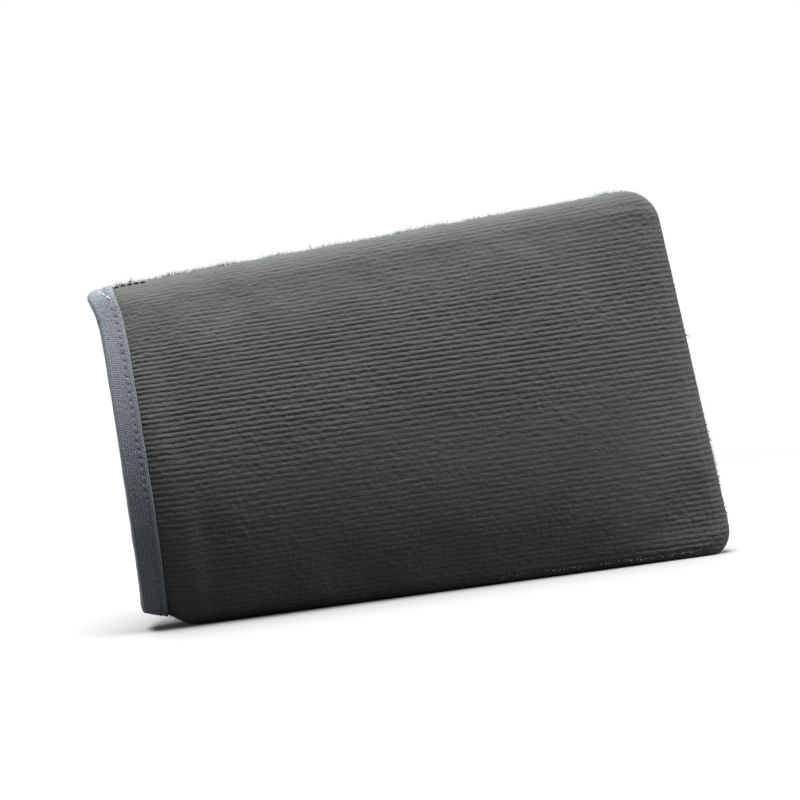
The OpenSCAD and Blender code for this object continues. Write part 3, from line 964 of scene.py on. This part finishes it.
foam = slab("foam_pad", FRONT, 2.2, FACE_T + FOAM_T, 3.0, FOAM, "front_foam")
wadding = slab("wadding_pad", BACK, 4.4, WALL_T - LINING_T, 3.0, WADDING, "back_wadding")
for panel_name, panel_side in (("front", FRONT), ("back", BACK)):
    knit = slab(panel_name + "_lining_knit", panel_side, WALL_T - LINING_T, WALL_T, 2.0, LINING,
                panel_name + "_lining")
back_cloth()
back_pile()
seam_fringe("seam_locks", 9000, reach=0.78, thick=0.32)
seam_fringe("seam_fibres", 34000, reach=1.15, thick=0.07)
seam_flecks()
corner_stitches()
cuff_tape()
binding_threads()
tape_lap()
for node, finish in (
    ("front_seam_margin", MARGIN), ("back_seam_margin", LINING), ("overlock_thread", DARK_THREAD),
    ("seam_needle_thread", DARK_THREAD), ("seam_bobbin_thread", DARK_THREAD),
):
    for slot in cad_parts[node].material_slots:
        slot.material = finish

# ---- Closing lines of the build ------------------------------------------------------------------


def look_from(azimuth, elevation, roll, distance, target, lens):
    """Camera on a sphere round the target, rolled about its own line of sight."""
    a, e, r = (math.radians(v) for v in (azimuth, elevation, roll))
    back = Vector((math.sin(a) * math.cos(e), -math.cos(a) * math.cos(e), math.sin(e)))
    level = Vector((math.cos(a), math.sin(a), 0))
    upright = back.cross(level)
    right = level * math.cos(r) + upright * math.sin(r)
    up = upright * math.cos(r) - level * math.sin(r)
    camera = bpy.data.objects.new("camera", bpy.data.cameras.new("camera"))
    camera.data.lens = lens
    camera.data.clip_start, camera.data.clip_end = 0.01, 50
    place = target + back * distance
    camera.matrix_world = Matrix((
        (right.x, up.x, back.x, place.x),
        (right.y, up.y, back.y, place.y),
        (right.z, up.z, back.z, place.z),
        (0, 0, 0, 1),
    ))
    bpy.context.scene.collection.objects.link(camera)
    bpy.context.scene.camera = camera


FLOOR_HALF = 6  # half the floor's side, in metres
CAMERA_AIM = Vector((-0.0052 - CENTRE_X * MM, 0, 0.0793))
look_from(azimuth=-10, elevation=2, roll=-6.3, distance=0.8, target=CAMERA_AIM, lens=87.8)


def soft_light(name, place, aim, size, power):
    light = bpy.data.lights.new(name, "AREA")
    light.shape, light.size, light.size_y, light.energy = "RECTANGLE", size[0], size[1], power
    obj = bpy.data.objects.new(name, light)
    obj.location = place
    obj.rotation_euler = (Vector(place) - Vector(aim)).to_track_quat("Z", "Y").to_euler()
    bpy.context.scene.collection.objects.link(obj)


def floor_piece():
    """A pale floor that fades out round the mitt; what it throws back on the mitt is darker."""
    n = Nodes("floor", (0.27, 0.27, 0.272), 0.9, Specular_IOR_Level=0.0)
    seen = n.add("ShaderNodeLightPath").outputs["Is Camera Ray"]
    n.colour(n.blend(seen, (0.135, 0.136, 0.138), (0.232, 0.2345, 0.239)))
    reach = n.add("ShaderNodeVectorMath", {0: n.place(False)}, operation="LENGTH").outputs["Value"]
    fade = n.add("ShaderNodeMapRange", {"Value": reach, 1: 0.25, 2: 0.6}, interpolation_type="SMOOTHSTEP")
    clear = n.add("ShaderNodeBsdfTransparent")
    inputs = {0: fade.outputs[0], 1: n.shader.outputs[0], 2: clear.outputs[0]}
    blend = n.add("ShaderNodeMixShader", inputs)
    n.tree.links.new(blend.outputs[0], n.tree.nodes["Material Output"].inputs[0])
    mesh = bpy.data.meshes.new("floor")
    corners = [(-FLOOR_HALF, -FLOOR_HALF, 0), (FLOOR_HALF, -FLOOR_HALF, 0)]
    corners += [(FLOOR_HALF, FLOOR_HALF, 0), (-FLOOR_HALF, FLOOR_HALF, 0)]
    mesh.from_pydata(corners, [], [(0, 1, 2, 3)])
    mesh.materials.append(n.material)
    obj = bpy.data.objects.new("floor", mesh)
    obj.location.z = -0.0002
    bpy.context.scene.collection.objects.link(obj)


def white_world(light):
    """White to the camera, and a weak even light on the mitt."""
    world = bpy.data.worlds.new("white")
    world.use_nodes = True
    tree = world.node_tree
    back = tree.nodes["Background"]
    path = tree.nodes.new("ShaderNodeLightPath")
    strength = tree.nodes.new("ShaderNodeMix")
    strength.inputs[2].default_value = light
    strength.inputs[3].default_value = 1.0
    tree.links.new(path.outputs["Is Camera Ray"], strength.inputs[0])
    tree.links.new(strength.outputs[0], back.inputs["Strength"])
    back.inputs["Color"].default_value = (1, 1, 1, 1)
    bpy.context.scene.world = world


floor_piece()
white_world(0.065)
soft_light("overhead", (-0.05, 0.3, 0.9), (0, 0.3, 0), (1.3, 1.0), 38)
soft_light("front_top", (-0.15, -0.36, 1.15), (0, 0, 0.08), (0.9, 0.25), 33)
soft_light("right_fill", (0.55, -0.2, 0.32), (0.12, 0, 0.09), (0.3, 0.3), 5.6)
soft_light("mouth_fill", (-0.9, 0.05, 0.25), (-0.1, 0, 0.08), (0.4, 0.4), 3)
bpy.context.scene.view_settings.view_transform = "Standard"
